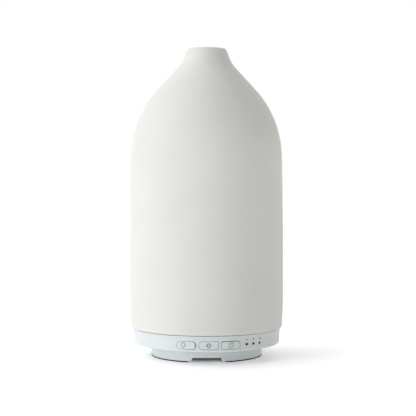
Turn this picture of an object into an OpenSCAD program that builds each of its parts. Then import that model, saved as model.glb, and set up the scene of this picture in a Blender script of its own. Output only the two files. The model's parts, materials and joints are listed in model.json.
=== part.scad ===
// Essential oil diffuser: a ceramic cover over a plastic base that holds the
// water tank, the ultrasonic mist maker, a fan and the control board.
// Millimetres, +Z up. The origin is on the surface it stands on, under its axis.
// The control keys face -Y. An angle is measured from -Y towards +X.

/* [Overall] */
// Height from the standing surface to the top of the ceramic cover
total_h = 169.6; // [168:0.5:172]
// Largest radius of the ceramic cover
cover_r = 42.5; // [42:0.1:43.5]
// Height of the top of the plastic band, where the cover sits
band_top_z = 15.5; // [15.4:0.1:15.8]

/* [Ceramic cover] */
// Thickness of the ceramic wall
cover_wall = 4; // [3.2:0.1:4.2]
// Radius of the mist outlet at the top
outlet_r = 7.2; // [6.6:0.1:7.4]
// Gap between the resting cover and the band
cover_gap = 0.3; // [0.25:0.05:0.5]

/* [Base] */
// Radius of the band at its top edge
band_top_r = 40.8; // [40.5:0.1:41]
// Radius of the band at its bottom edge
band_low_r = 40.3; // [40:0.1:40.6]
// Height of the band's bottom edge
band_low_z = 7; // [6.8:0.1:7.1]
// Outer radius of the foot ring
foot_r = 30.7; // [30.4:0.1:30.8]
// Height of the underside of the foot ring above the rubber pads' faces
foot_low_z = 0.4; // [0.4:0.1:0.8]
// Width of each notch in the foot ring
notch_w = 15.5; // [10:0.5:16]
// Height of each notch's roof
notch_top_z = 2.6; // [2:0.1:3.5]

/* [Keys and lights] */
// Width of each key
key_w = 10.6; // [9.5:0.1:10.6]
// Height of each key
key_h = 4.3; // [4:0.1:4.5]
// Angle between neighbouring keys
key_pitch = 17; // [16.75:0.25:18]
// Height of the keys' middle line
key_z = 10.6; // [10.6:0.1:11]
// How far each key's face lies below the band's surface
key_recess = 0.4; // [0.2:0.05:0.6]
// How far each key travels when it is pressed
key_travel = 0.5; // [0.3:0.05:0.6]
// Radius of each indicator lens
lens_r = 0.6; // [0.4:0.05:0.6]
// Angle of the middle indicator
lens_angle = 36.25; // [35:0.25:37]
// Angle between neighbouring indicators
lens_pitch = 6.25; // [5:0.25:6.5]

/* [Water tank] */
// Inner radius of the tank
tank_r = 30; // [29.5:0.1:30.2]
// Height of the tank's floor, above which the water stands
tank_floor_z = 40; // [39.5:0.5:40.5]
// Height of the tank's rim
tank_rim_z = 82; // [78:1:84]
// Height of the top of the mist chimney
chimney_top_z = 161; // [155:1:162]

/* [Fan and socket] */
// Width of the square fan
fan_w = 25; // [24:0.5:25]
// Thickness of the fan
fan_h = 8; // [7:0.5:8]
// Number of fan blades
blades = 7; // [5:1:9]
// Radius of the power socket's opening
socket_r = 2.85; // [2.75:0.05:2.9]
// Radius of the power socket's centre pin
pin_r = 1; // [0.95:0.05:1.05]

/* [Hidden] */
$fn = 96;

// Cover: the outer curve, from the top of its lower stretch to its lip.
// A lean is the angle of the surface from vertical, inwards as it rises.
cover_low_z = band_top_z + cover_gap;
belly_z = 33.5;
belly_bend_r = 240;
straight_z = 53.5;
barrel_bend_r = 2077;
shoulder_lean = 1.58;
shoulder_bend_r = 56.1;
cone_lean = 42.4;
neck_bend_r = 18;
neck_lean = 16.5;
lip_bend_r = 13.8;
lip_lean = 29.4;
lip_edge_r = 1.3;
foot_edge_r = 0.8;
// The straight cone is as long as the total height leaves room for
cone_l = (total_h - lip_edge_r * (1 - sin(lip_lean)) - straight_z - barrel_bend_r * sin(shoulder_lean)
    - shoulder_bend_r * (sin(cone_lean) - sin(shoulder_lean)) - neck_bend_r * (sin(cone_lean) - sin(neck_lean))
    - lip_bend_r * (sin(lip_lean) - sin(neck_lean))) / cos(cone_lean);

// Housing
skin = 2;
band_in_r = 38.2;
drum_r = 36.8;
deck_z = 32;
deck_open_r = 17.5;
plate_top_z = band_low_z + 1.6;
plate_r = band_in_r - 0.3;
foot_in_r = 25.2;
pad_top_z = foot_low_z + 1;
pad_out_r = foot_r - 0.7;
pad_in_r = foot_in_r + 1;
// The first notch stands a little round from the middle key
foot_angles = [-1.5, 118.5, 238.5];
notch_half = asin(notch_w / 2 / foot_r);
pad_margin = 13;

// Board: controls hang from its underside, parts stand on its top
board_top_z = 14.8;
board_low_z = 13.2;
board_r = 34.2;
board_back_y = -3;

// Keys, in the order light, mist, timer: the left and right corner radii differ
key_angles = [-key_pitch, 0, key_pitch];
key_full = key_h / 2 - 0.05;
key_soft = 0.9;
key_gap = 0.2;
key_flange_h = key_h + 1.2;
key_flange_w = key_w - 0.9;
key_flange_r = 37.7;
post_r = 1.2;
post_end_r = 35.4;
plunger_r = 0.8;
// How far a plunger reaches into its switch at rest, and the bore's spare depth
plunger_in = 1.4;
plunger_spare = 0.3;
switch_face_r = 34.2;
switch_w = 6.2;
lens_angles = [for (i = [-1:1]) lens_angle + i * lens_pitch];

// Screws: [angle, radius] from the axis
case_spots = [for (a = [-52, 52, -128, 128]) [a, 33]];
board_spots = [for (a = [-30, 30, -76, 76]) [a, 30.6]];
tank_spots = [for (a = [0, 120, 240]) [a, 26.5]];
clamp_spots = [for (a = [60, 180, 300]) [a, 14.2]];
light_spots = [for (a = [-45, 45]) [a, 22]];
screw_r = 1;
screw_slack = 0.05;
boss_r = 2.6;
eps = 0.01;

// Tank, duct and fan
tank_wall = 2;
tank_foot_z = deck_z + 1;
pipe_y = 23.6;
pipe_top_z = tank_rim_z - 4;
pipe_r = 4;
duct_pipe_r = 5;
disc_r = 10;
disc_z = 35.7;
disc_h = 1.2;
seal_low_z = 34.6;
seal_r = 11.8;
clamp_low_z = 32.8;
well_r = 8;
fan_y = 11.5;
fan_low_z = plate_top_z + 2;
fan_top_z = fan_low_z + fan_h;
fan_bore_r = fan_w / 2 - 0.9;
fan_hole = fan_w / 2 - 2.5;
hub_r = 5.6;
shaft_r = 0.75;
duct_wall = 1.2;
duct_low_z = fan_top_z + 0.2;
duct_top_z = duct_low_z + 5.2;
duct_w = 26;
duct_back_y = 30;

// Power socket at the back of the band
jack_z = 11.4;
jack_w = 9;
jack_h = 6.6;
jack_back_y = 25.4;
jack_front_y = 37.4;
jack_hole_r = 3.1;
jack_depth = 9;
pin_tip = 0.3;

// Colours
ivory = [0.93, 0.93, 0.91];
cool_white = [0.86, 0.89, 0.89];
dark_rubber = [0.12, 0.12, 0.13];
steel = [0.7, 0.71, 0.73];
clear_grey = [0.82, 0.87, 0.9];

// ---- Outlines and helpers ----

function arc(cx, cy, r, a0, a1, n) =
    [for (i = [0:n]) let (a = a0 + (a1 - a0) * i / n) [cx + r * cos(a), cy + r * sin(a)]];

// A rectangle with its own corner radius on the left (rl) and on the right (rr)
function key_outline(w, h, rl, rr) = concat(
    arc(w / 2 - rr, h / 2 - rr, rr, 0, 90, 8),
    arc(-w / 2 + rl, h / 2 - rl, rl, 90, 180, 8),
    arc(-w / 2 + rl, -h / 2 + rl, rl, 180, 270, 8),
    arc(w / 2 - rr, -h / 2 + rr, rr, 270, 360, 8));

// One stretch of a leaning curve from point p: [radius, height, lean] triples.
// A positive bend curves outwards as it leans in, a negative one is hollow.
function bend(p, r, a0, a1, n) =
    [for (i = [1:n]) let (a = a0 + (a1 - a0) * i / n)
        [p[0] - r * (cos(a0) - cos(a)), p[1] + r * (sin(a) - sin(a0)), a]];
function last(v) = v[len(v) - 1];

cover_belly = concat([[cover_r, straight_z, 0]], [[cover_r, belly_z, 0]],
    [for (i = [1:5]) let (a = -0.84 * i)
        [cover_r - belly_bend_r * (1 - cos(a)), belly_z + belly_bend_r * sin(a), a]]);
cover_rise = bend([cover_r, straight_z], barrel_bend_r, 0, shoulder_lean, 4);
cover_shoulder = bend(last(cover_rise), shoulder_bend_r, shoulder_lean, cone_lean, 20);
cover_cone = [let (p = last(cover_shoulder))
    [p[0] - cone_l * sin(cone_lean), p[1] + cone_l * cos(cone_lean), cone_lean]];
cover_neck = bend(last(cover_cone), -neck_bend_r, cone_lean, neck_lean, 10);
cover_lip = bend(last(cover_neck), lip_bend_r, neck_lean, lip_lean, 5);
cover_curve = concat([for (i = [len(cover_belly) - 1:-1:0]) cover_belly[i]],
    cover_rise, cover_shoulder, cover_cone, cover_neck, cover_lip);

// The same curve moved inwards by d, square to the surface
function cover_inset(d) = [for (p = cover_curve) [p[0] - d * cos(p[2]), p[1] - d * sin(p[2])]];

module ring(r_out, r_in, z0, z1) {
    translate([0, 0, z0])
        difference() {
            cylinder(r = r_out, h = z1 - z0);
            translate([0, 0, -1])
                cylinder(r = r_in, h = z1 - z0 + 2);
        }
}

module post(r, z0, z1) {
    translate([0, 0, z0])
        cylinder(r = r, h = z1 - z0);
}

// Places children at each [angle, radius]
module at_spots(spots) {
    for (s = spots)
        rotate([0, 0, s[0]])
            translate([0, -s[1], 0])
                children();
}

// Extrudes a flat outline from radius r0 out to r1, facing -Y at height key_z
module radial_prism(r0, r1) {
    translate([0, -r0, key_z])
        rotate([90, 0, 0])
            linear_extrude(r1 - r0)
                children();
}

module radial_pin(r, r0, r1) {
    translate([0, -r0, key_z])
        rotate([90, 0, 0])
            cylinder(r = r, h = r1 - r0);
}

// A screw that drives upwards: its head's underside is at z0
module screw_up(z0, length, head_r, head_h) {
    difference() {
        union() {
            post(head_r, z0 - head_h, z0);
            post(screw_r, z0 - eps, z0 + length);
        }
        for (a = [0, 90])
            rotate([0, 0, a])
                translate([-head_r * 0.6, -0.2, z0 - head_h - 1])
                    cube([head_r * 1.2, 0.4, 1 + head_h * 0.45]);
    }
}

function unit(v) = v / norm(v);
function curve(p, n) = [for (i = [0:n]) let (t = i / n, s = 1 - t)
    s * s * s * p[0] + 3 * s * s * t * p[1] + 3 * s * t * t * p[2] + t * t * t * p[3]];
function heading(p, i) = unit(p[min(i + 1, len(p) - 1)] - p[max(i - 1, 0)]);

// A round lead along a smooth curve through four control points
module lead(control, r) {
    sides = 8;
    p = curve(control, 20);
    rings = len(p);
    points = [for (i = [0:rings - 1])
        let (t = heading(p, i), u = unit(cross(t, [1, 0.2, 0.3])), v = cross(t, u))
            for (k = [0:sides - 1]) p[i] + r * (cos(k * 360 / sides) * u + sin(k * 360 / sides) * v)];
    faces = concat(
        [[for (k = [0:sides - 1]) k]],
        [[for (k = [sides - 1:-1:0]) (rings - 1) * sides + k]],
        [for (i = [0:rings - 2]) for (k = [0:sides - 1]) let (m = (k + 1) % sides)
            [i * sides + k, (i + 1) * sides + k, (i + 1) * sides + m, i * sides + m]]);
    polyhedron(points, faces);
}

// ---- Covers ----

module ceramic_cover() {
    outer = cover_inset(0);
    inner = cover_inset(cover_wall);
    lip = last(outer);
    low_r = outer[0][0] - foot_edge_r;
    low_in_r = inner[0][0] + foot_edge_r;
    color(ivory)
        rotate_extrude($fn = 180)
            polygon(concat(
                arc(low_r, cover_low_z + foot_edge_r, foot_edge_r, -90, 0, 5),
                [for (p = outer) if (p[1] > cover_low_z + foot_edge_r) p],
                arc(lip[0] - lip_edge_r * cos(lip_lean), total_h - lip_edge_r, lip_edge_r, lip_lean, 90, 6),
                arc(outlet_r + 1, total_h - 1, 1, 90, 180, 5),
                [[outlet_r, last(inner)[1] + 0.3]],
                [for (i = [len(inner) - 1:-1:0]) if (inner[i][1] > cover_low_z + foot_edge_r) inner[i]],
                arc(low_in_r, cover_low_z + foot_edge_r, foot_edge_r, 180, 270, 5)));
}

// The plastic lid over the tank, with the tall chimney that carries the mist
module inner_cover() {
    lid_wall = 1.5;
    skirt_in_r = tank_r + tank_wall + 0.4;
    skirt_r = skirt_in_r + lid_wall;
    seat_z = tank_rim_z + 0.3;
    dome_r = 22;
    dome_x = skirt_r - dome_r;
    dome_z = seat_z + 2;
    chimney_in_r = 4.6;
    chimney_r = chimney_in_r + 1.3;
    flare = 8;
    top = dome_z + dome_r;
    color([0.9, 0.92, 0.93])
        rotate_extrude($fn = 120)
            polygon(concat(
                [[skirt_in_r, tank_rim_z - 6], [skirt_r, tank_rim_z - 6]],
                arc(dome_x, dome_z, dome_r, 0, 80, 14),
                arc(chimney_r + flare, top + flare - 1, flare, 260, 180, 8),
                [[chimney_r, chimney_top_z], [chimney_in_r, chimney_top_z]],
                arc(chimney_in_r + flare + lid_wall, top + flare - 1, flare + lid_wall, 180, 260, 8),
                arc(dome_x, dome_z, dome_r - lid_wall, 80, 0, 14),
                [[skirt_r - lid_wall, seat_z + 1.2], [tank_r + 0.6, seat_z + 1.2]],
                [[tank_r + 0.6, seat_z], [skirt_in_r, seat_z]]));
}

// ---- Base ----

module key_hole(i) {
    grow = 2 * key_gap;
    rl = i == 2 ? key_soft : key_full;
    rr = i == 1 ? key_soft : key_full;
    rotate([0, 0, key_angles[i]])
        radial_prism(band_in_r - 2, band_top_r + 2)
            polygon(key_outline(key_w + grow, key_h + grow, rl + key_gap, rr + key_gap));
}

// Room in a ring-shaped stretch behind the keys, for their flanges
module key_room(z0, z1) {
    span = 2 * key_pitch + 22;
    rotate([0, 0, -90 - span / 2])
        rotate_extrude(angle = span)
            translate([key_flange_r - 1.8, z0])
                square([band_in_r - key_flange_r + 1.6, z1 - z0]);
}

module base_housing() {
    color(cool_white)
        difference() {
            union() {
                rotate_extrude($fn = 180)
                    polygon(concat(
                        [[band_in_r, band_low_z]],
                        arc(band_low_r - 1, band_low_z + 1, 1, -90, 0, 5),
                        arc(band_top_r - 0.3, band_top_z - 0.3, 0.3, 0, 90, 3),
                        [[drum_r, band_top_z]],
                        arc(drum_r - 0.8, deck_z - 0.8, 0.8, 0, 90, 4),
                        [[deck_open_r, deck_z], [deck_open_r, deck_z - skin]],
                        [[drum_r - skin, deck_z - skin], [drum_r - skin, band_top_z - skin]],
                        [[band_in_r, band_top_z - skin]]));
                at_spots(case_spots)
                    post(boss_r, plate_top_z + 0.1, deck_z - skin + eps);
                at_spots(board_spots)
                    post(2.4, board_top_z + 0.1, deck_z - skin + eps);
            }
            at_spots(case_spots)
                post(screw_r + screw_slack, plate_top_z - 1, plate_top_z + 9);
            at_spots(board_spots)
                post(screw_r + screw_slack, board_top_z - 1, board_top_z + 7);
            at_spots(tank_spots)
                post(screw_r + 0.2, deck_z - skin - 1, deck_z + 1);
            at_spots(light_spots)
                post(2.7, deck_z - skin - 1, deck_z + 1);
            translate([0, pipe_y, 0])
                post(duct_pipe_r + 0.4, deck_z - skin - 1, deck_z + 1);
            for (i = [0:2])
                key_hole(i);
            for (a = lens_angles)
                rotate([0, 0, a])
                    radial_pin(lens_r + 0.05, band_in_r - 1, band_top_r + 1);
            translate([0, band_in_r - 1, jack_z])
                rotate([-90, 0, 0])
                    cylinder(r = jack_hole_r, h = 5);
            translate([-jack_w / 2 - 0.2, jack_back_y, jack_z - jack_h])
                cube([jack_w + 0.4, jack_front_y - jack_back_y + 0.1, jack_h * 1.5 + 0.1]);
            key_room(band_top_z - skin - 1, band_top_z - skin + 0.5);
        }
}

module pad_arc(r_in, r_out, z0, z1, margin) {
    span = 120 - 2 * (notch_half + margin);
    for (a = foot_angles)
        rotate([0, 0, a - 90 + notch_half + margin])
            rotate_extrude(angle = span)
                translate([r_in, z0])
                    square([r_out - r_in, z1 - z0]);
}

module bottom_cover() {
    slot_w = 1.6;
    slot_step = 3;
    slot_reach = 10.5;
    color(cool_white)
        difference() {
            union() {
                post(plate_r, band_low_z, plate_top_z);
                ring(foot_r, foot_in_r, foot_low_z, band_low_z + eps);
                for (x = [-fan_hole, fan_hole])
                    for (y = [-fan_hole, fan_hole])
                        translate([x, fan_y + y, 0])
                            post(2, plate_top_z - eps, fan_low_z);
            }
            for (a = foot_angles)
                rotate([0, 0, a])
                    translate([-notch_w / 2, -foot_r - 1, foot_low_z - 1])
                        cube([notch_w, foot_r - foot_in_r + 4, notch_top_z - foot_low_z + 1]);
            pad_arc(pad_in_r - 0.1, pad_out_r + 0.1, foot_low_z - 1, pad_top_z, pad_margin - 0.2);
            for (i = [-3:3])
                let (reach = sqrt(slot_reach * slot_reach - i * i * slot_step * slot_step))
                    translate([i * slot_step - slot_w / 2, fan_y - reach, band_low_z - 1])
                        cube([slot_w, 2 * reach, 4]);
            at_spots(case_spots) {
                post(screw_r + 0.2, band_low_z - 1, plate_top_z + 1);
                post(2.2, band_low_z - 1, band_low_z + 0.8);
            }
            for (x = [-fan_hole, fan_hole])
                for (y = [-fan_hole, fan_hole])
                    translate([x, fan_y + y, 0])
                        post(0.85, plate_top_z - 0.4, fan_low_z + 1);
            translate([-jack_w / 2 - 0.2, jack_back_y - 0.2, jack_z - jack_h / 2 - 0.1])
                cube([jack_w + 0.4, jack_front_y - jack_back_y + 0.4, 4]);
            key_room(key_z - key_flange_h / 2 - 0.3, plate_top_z + 1);
        }
}

module foot_pads() {
    color(dark_rubber)
        pad_arc(pad_in_r, pad_out_r, 0, pad_top_z, pad_margin);
}

module case_screws() {
    color(steel)
        at_spots(case_spots)
            screw_up(band_low_z + 0.8, 8, 2, 0.7);
}

// ---- Water tank and mist maker ----

module water_tank() {
    floor_low_z = tank_floor_z - tank_wall;
    out_r = tank_r + tank_wall;
    color(clear_grey)
        difference() {
            union() {
                rotate_extrude($fn = 120)
                    polygon(concat(
                        [[well_r, floor_low_z], [tank_r, floor_low_z], [tank_r, tank_foot_z]],
                        [[out_r, tank_foot_z], [out_r, tank_rim_z - 0.5], [out_r - 0.5, tank_rim_z]],
                        [[tank_r + 0.5, tank_rim_z], [tank_r, tank_rim_z - 0.5]],
                        arc(tank_r - 4, tank_floor_z + 4, 4, 0, -90, 6),
                        [[well_r + 1, tank_floor_z], [well_r, tank_floor_z - 1]]));
                translate([0, pipe_y, 0]) {
                    post(pipe_r + 1.2, floor_low_z, pipe_top_z);
                    post(duct_pipe_r + 1, deck_z + 0.4, floor_low_z + eps);
                }
                at_spots(tank_spots)
                    post(3, deck_z + 0.2, floor_low_z + eps);
                at_spots(clamp_spots)
                    post(2.1, seal_low_z, floor_low_z + eps);
            }
            translate([0, pipe_y, 0]) {
                post(pipe_r, floor_low_z - 1, pipe_top_z + 1);
                post(duct_pipe_r + 0.15, deck_z - 1, floor_low_z);
            }
            at_spots(tank_spots)
                post(screw_r + screw_slack, deck_z - 1, floor_low_z + 0.6);
            at_spots(clamp_spots)
                post(screw_r + screw_slack, seal_low_z - 1, floor_low_z + 0.6);
        }
}

module tank_gasket() {
    color(dark_rubber)
        ring(tank_r + tank_wall - 0.3, tank_r + 0.2, deck_z, tank_foot_z);
}

module tank_screws() {
    color(steel)
        at_spots(tank_spots)
            screw_up(deck_z - skin, 7, 2.1, 1.5);
}

module transducer_disc() {
    color([0.75, 0.68, 0.45])
        post(disc_r, disc_z, disc_z + disc_h);
}

module transducer_seal() {
    top_z = tank_floor_z - tank_wall;
    color([0.85, 0.4, 0.3])
        rotate_extrude()
            polygon([
                [well_r + 0.4, seal_low_z], [seal_r, seal_low_z], [seal_r, top_z], [well_r + 0.4, top_z],
                [well_r + 0.4, disc_z + disc_h], [disc_r, disc_z + disc_h], [disc_r, disc_z],
                [well_r + 0.4, disc_z]]);
}

module transducer_clamp() {
    color(steel)
        difference() {
            ring(16.6, well_r - 0.4, clamp_low_z, seal_low_z);
            at_spots(clamp_spots)
                post(screw_r + 0.15, clamp_low_z - 1, seal_low_z + 1);
        }
}

module clamp_screws() {
    color(steel)
        at_spots(clamp_spots)
            screw_up(clamp_low_z, 5, 1.9, 1.2);
}

// ---- Fan ----

// Carries the fan's air back and up into the tank's standing pipe
module air_duct() {
    front_y = fan_y - duct_w / 2;
    inside_w = duct_w - 2 * duct_wall;
    color([0.25, 0.26, 0.28])
        difference() {
            union() {
                translate([-duct_w / 2, front_y, duct_low_z])
                    cube([duct_w, duct_back_y - front_y, duct_top_z - duct_low_z]);
                translate([0, pipe_y, 0])
                    post(duct_pipe_r, duct_top_z - 1, tank_floor_z - tank_wall - 0.4);
            }
            translate([-inside_w / 2, front_y + duct_wall, duct_low_z + duct_wall])
                cube([inside_w, duct_back_y - front_y - 2 * duct_wall, duct_top_z - duct_low_z - 2 * duct_wall]);
            translate([0, fan_y, 0])
                post(fan_bore_r, duct_low_z - 1, duct_low_z + duct_wall + 1);
            translate([0, pipe_y, 0])
                post(duct_pipe_r - duct_wall, duct_top_z - duct_wall - 1, tank_floor_z);
        }
}

module fan_frame() {
    bearing_r = 2;
    motor_r = 5;
    plate_z = fan_low_z + 1.2;
    color([0.13, 0.13, 0.14])
        translate([0, fan_y, 0])
            difference() {
                union() {
                    difference() {
                        translate([0, 0, fan_low_z])
                            linear_extrude(fan_h)
                                polygon(key_outline(fan_w, fan_w, 2, 2));
                        post(fan_bore_r, fan_low_z - 1, fan_top_z + 1);
                    }
                    post(motor_r, fan_low_z, plate_z);
                    for (a = [0, 120, 240])
                        rotate([0, 0, a])
                            translate([-0.8, 0, fan_low_z])
                                cube([1.6, fan_bore_r + 0.3, 1.2]);
                }
                post(bearing_r, fan_low_z - 1, plate_z + 1);
                for (x = [-fan_hole, fan_hole])
                    for (y = [-fan_hole, fan_hole])
                        translate([x, y, 0])
                            post(1.2, fan_low_z - 1, fan_top_z + 1);
            }
}

module fan_bearing() {
    color([0.8, 0.62, 0.3])
        translate([0, fan_y, 0])
            ring(1.95, shaft_r + 0.05, fan_low_z + 0.1, fan_low_z + 5);
}

module fan_stator() {
    poles = 4;
    color([0.72, 0.42, 0.22])
        translate([0, fan_y, 0])
            difference() {
                ring(4.3, 2, fan_low_z + 1.4, fan_low_z + 5);
                for (a = [0:360 / poles:359])
                    rotate([0, 0, a])
                        translate([3, -0.3, fan_low_z])
                            cube([3, 0.6, 6]);
            }
}

module fan_rotor() {
    low_z = fan_low_z + 1.6;
    top_z = fan_top_z - 0.5;
    roof_z = top_z - 1;
    color([0.16, 0.16, 0.17])
        translate([0, fan_y, 0])
            difference() {
                union() {
                    post(hub_r, low_z, top_z);
                    intersection() {
                        ring(fan_bore_r - 0.4, hub_r - 0.3, low_z + 0.3, top_z - 0.3);
                        for (a = [0:360 / blades:359])
                            rotate([0, 0, a])
                                translate([hub_r - 0.5, 0, (low_z + top_z) / 2])
                                    rotate([38, 0, 0])
                                        translate([0, -4.5, -0.35])
                                            cube([8, 9, 0.7]);
                    }
                }
                post(hub_r - 0.9, low_z - 1, roof_z);
                post(shaft_r + 0.02, low_z - 1, top_z + 1);
            }
}

module fan_shaft() {
    color(steel)
        translate([0, fan_y, 0])
            post(shaft_r, fan_low_z + 0.4, fan_top_z - 0.6);
}

module fan_screws() {
    color(steel)
        for (x = [-fan_hole, fan_hole])
            for (y = [-fan_hole, fan_hole])
                translate([x, fan_y + y, 0])
                    difference() {
                        union() {
                            post(0.8, plate_top_z, fan_top_z - 0.9);
                            post(1.1, fan_top_z - 1, fan_top_z - 0.1);
                        }
                        translate([-0.8, -0.15, fan_top_z - 0.5])
                            cube([1.6, 0.3, 1]);
                    }
}

// ---- Control board ----

module main_board() {
    color([0.12, 0.38, 0.22])
        difference() {
            post(board_r, board_low_z, board_top_z);
            translate([-50, board_back_y, 0])
                cube([100, 100, 50]);
            at_spots(case_spots)
                post(boss_r + 0.5, board_low_z - 1, board_top_z + 1);
            at_spots(board_spots)
                post(screw_r + 0.15, board_low_z - 1, board_top_z + 1);
        }
}

module board_screws() {
    color(steel)
        at_spots(board_spots)
            screw_up(board_low_z, 8, 1.9, 1.2);
}

module capacitors() {
    color([0.15, 0.17, 0.22])
        for (y = [-18.5, -26.2])
            translate([-5.5, y, 0])
                post(3.15, board_top_z, board_top_z + 9);
}

module drive_coil() {
    color([0.72, 0.42, 0.22])
        translate([7.5, -20, 0]) {
            post(4.2, board_top_z + 1, board_top_z + 6);
            post(5, board_top_z, board_top_z + 1);
            post(5, board_top_z + 6, board_top_z + 7);
        }
}

module control_chips() {
    color([0.1, 0.1, 0.11])
        for (s = [[6, -29.3, 5], [-24.5, -14, 6], [24.5, -14, 5]])
            translate([s[0] - s[2] / 2, s[1] - 2, board_top_z])
                cube([s[2], 4, 1.6]);
}

module lead_connectors() {
    color([0.93, 0.92, 0.86])
        for (x = [-15, 0, 15])
            translate([x - 3.2, -12.5, board_top_z])
                difference() {
                    cube([6.4, 5, 5.4]);
                    translate([0.7, 3, 0.7])
                        cube([5, 3, 4]);
                }
}

// Side-pressed switches: each has a round hole that its plunger slides in
module button_switches() {
    bore_end_r = switch_face_r - plunger_in - key_travel - plunger_spare;
    color([0.2, 0.2, 0.21])
        for (a = key_angles)
            rotate([0, 0, a])
                difference() {
                    translate([-switch_w / 2, -switch_face_r, board_low_z - 4.2])
                        cube([switch_w, 3.4, 4.2]);
                    radial_pin(plunger_r + 0.08, bore_end_r, switch_face_r + 1);
                }
}

module indicator_leds() {
    color([0.9, 0.9, 0.85])
        for (a = lens_angles)
            rotate([0, 0, a])
                translate([-1.2, -board_r, key_z - 0.8])
                    cube([2.4, 1.2, board_low_z - key_z + 0.8]);
}

module indicator_lenses() {
    color([0.05, 0.05, 0.06])
        for (a = lens_angles)
            rotate([0, 0, a])
                union() {
                    radial_pin(lens_r, board_r + 0.4, band_low_r - 0.1);
                    radial_pin(lens_r + 0.5, board_r + 0.4, band_in_r - 1);
                }
}

// Two round lamps on tall legs that shine up through the deck
module light_leds() {
    low_z = deck_z - skin - 1.4;
    color([0.95, 0.93, 0.85])
        at_spots(light_spots) {
            rotate_extrude($fn = 48)
                polygon(concat(
                    [[0, low_z], [2.9, low_z], [2.9, low_z + 1], [2.5, low_z + 1]],
                    arc(0, 34.5, 2.5, 0, 90, 8)));
            for (x = [-1.27, 1.27])
                translate([x - 0.25, -0.25, board_top_z])
                    cube([0.5, 0.5, low_z - board_top_z + eps]);
        }
}

// ---- Power socket ----

module dc_jack() {
    floor_y = jack_front_y - jack_depth;
    color([0.09, 0.09, 0.1])
        difference() {
            translate([-jack_w / 2, jack_back_y, jack_z - jack_h / 2])
                cube([jack_w, jack_front_y - jack_back_y, jack_h]);
            translate([0, floor_y, jack_z])
                rotate([-90, 0, 0])
                    cylinder(r = socket_r, h = jack_depth + 1);
            translate([0, jack_back_y - 1, jack_z])
                rotate([-90, 0, 0])
                    cylinder(r = pin_r + 0.45, h = 6);
        }
}

module dc_pin() {
    floor_y = jack_front_y - jack_depth;
    tip_y = jack_front_y - 0.5;
    color(steel)
        translate([0, 0, jack_z])
            rotate([-90, 0, 0]) {
                translate([0, 0, jack_back_y + 0.3])
                    cylinder(r = pin_r + 0.4, h = floor_y - jack_back_y - 0.3);
                translate([0, 0, floor_y])
                    cylinder(r = pin_r, h = tip_y - pin_tip - floor_y);
                translate([0, 0, tip_y - pin_tip])
                    cylinder(r1 = pin_r, r2 = pin_r - pin_tip, h = pin_tip);
            }
}

// ---- Leads inside the base ----

lead_r = 0.55;
plug_y = -9.4;
plug_z = 17.5;

module fan_leads() {
    color([0.15, 0.15, 0.16])
        for (s = [-1, 1])
            lead([[-fan_w / 2 - 0.1, 4 + s, 12.6], [-19, 4 + s, 12.6],
                [-15 - s, 3, plug_z], [-15 - s, plug_y, plug_z]], lead_r);
}

module transducer_leads() {
    color([0.7, 0.12, 0.1])
        for (s = [-1, 1])
            lead([[s * 1.2, -3.4, disc_z - 0.1], [s * 1.2, -3.8, 28],
                [s, -3.6, plug_z], [s, plug_y, plug_z]], lead_r);
}

module power_leads() {
    color([0.15, 0.15, 0.16])
        for (s = [-1, 1])
            lead([[jack_w / 2 + 0.1, 28, 11.3 + s], [22, 30 + s, 11.3 + s],
                [18 + s, 6, plug_z], [15 + s, plug_y, plug_z]], lead_r);
}

// ---- Keys ----

// A key: its face follows the band, a flange holds it in, a post meets the switch
module key(i) {
    rl = i == 2 ? key_soft : key_full;
    rr = i == 1 ? key_soft : key_full;
    color(cool_white)
        rotate([0, 0, key_angles[i]])
            union() {
                intersection() {
                    radial_prism(key_flange_r - 1.2, band_top_r + 1)
                        polygon(key_outline(key_w, key_h, rl, rr));
                    rotate_extrude($fn = 180)
                        polygon([
                            [30, band_low_z], [band_low_r - key_recess, band_low_z],
                            [band_top_r - key_recess, band_top_z], [30, band_top_z]]);
                }
                radial_prism(key_flange_r - 1.2, key_flange_r)
                    polygon(key_outline(key_flange_w, key_flange_h, 0.5, 0.5));
                radial_pin(post_r, post_end_r, key_flange_r - 1);
            }
}

module plunger(i) {
    color([0.85, 0.83, 0.75])
        rotate([0, 0, key_angles[i]])
            radial_pin(plunger_r, switch_face_r - plunger_in, post_end_r);
}

module light_button() { key(0); }
module mist_button() { key(1); }
module timer_button() { key(2); }
module light_plunger() { plunger(0); }
module mist_plunger() { plunger(1); }
module timer_plunger() { plunger(2); }

ceramic_cover();
inner_cover();
base_housing();
bottom_cover();
foot_pads();
case_screws();
water_tank();
tank_gasket();
tank_screws();
transducer_disc();
transducer_seal();
transducer_clamp();
clamp_screws();
air_duct();
fan_frame();
fan_stator();
fan_bearing();
fan_screws();
fan_rotor();
fan_shaft();
main_board();
board_screws();
capacitors();
drive_coil();
control_chips();
lead_connectors();
button_switches();
indicator_leds();
indicator_lenses();
light_leds();
dc_jack();
dc_pin();
fan_leads();
transducer_leads();
power_leads();
light_button();
light_plunger();
mist_button();
mist_plunger();
timer_button();
timer_plunger();
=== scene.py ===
import json
import math

import bmesh
import bpy
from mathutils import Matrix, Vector
from mathutils.geometry import delaunay_2d_cdt


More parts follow.
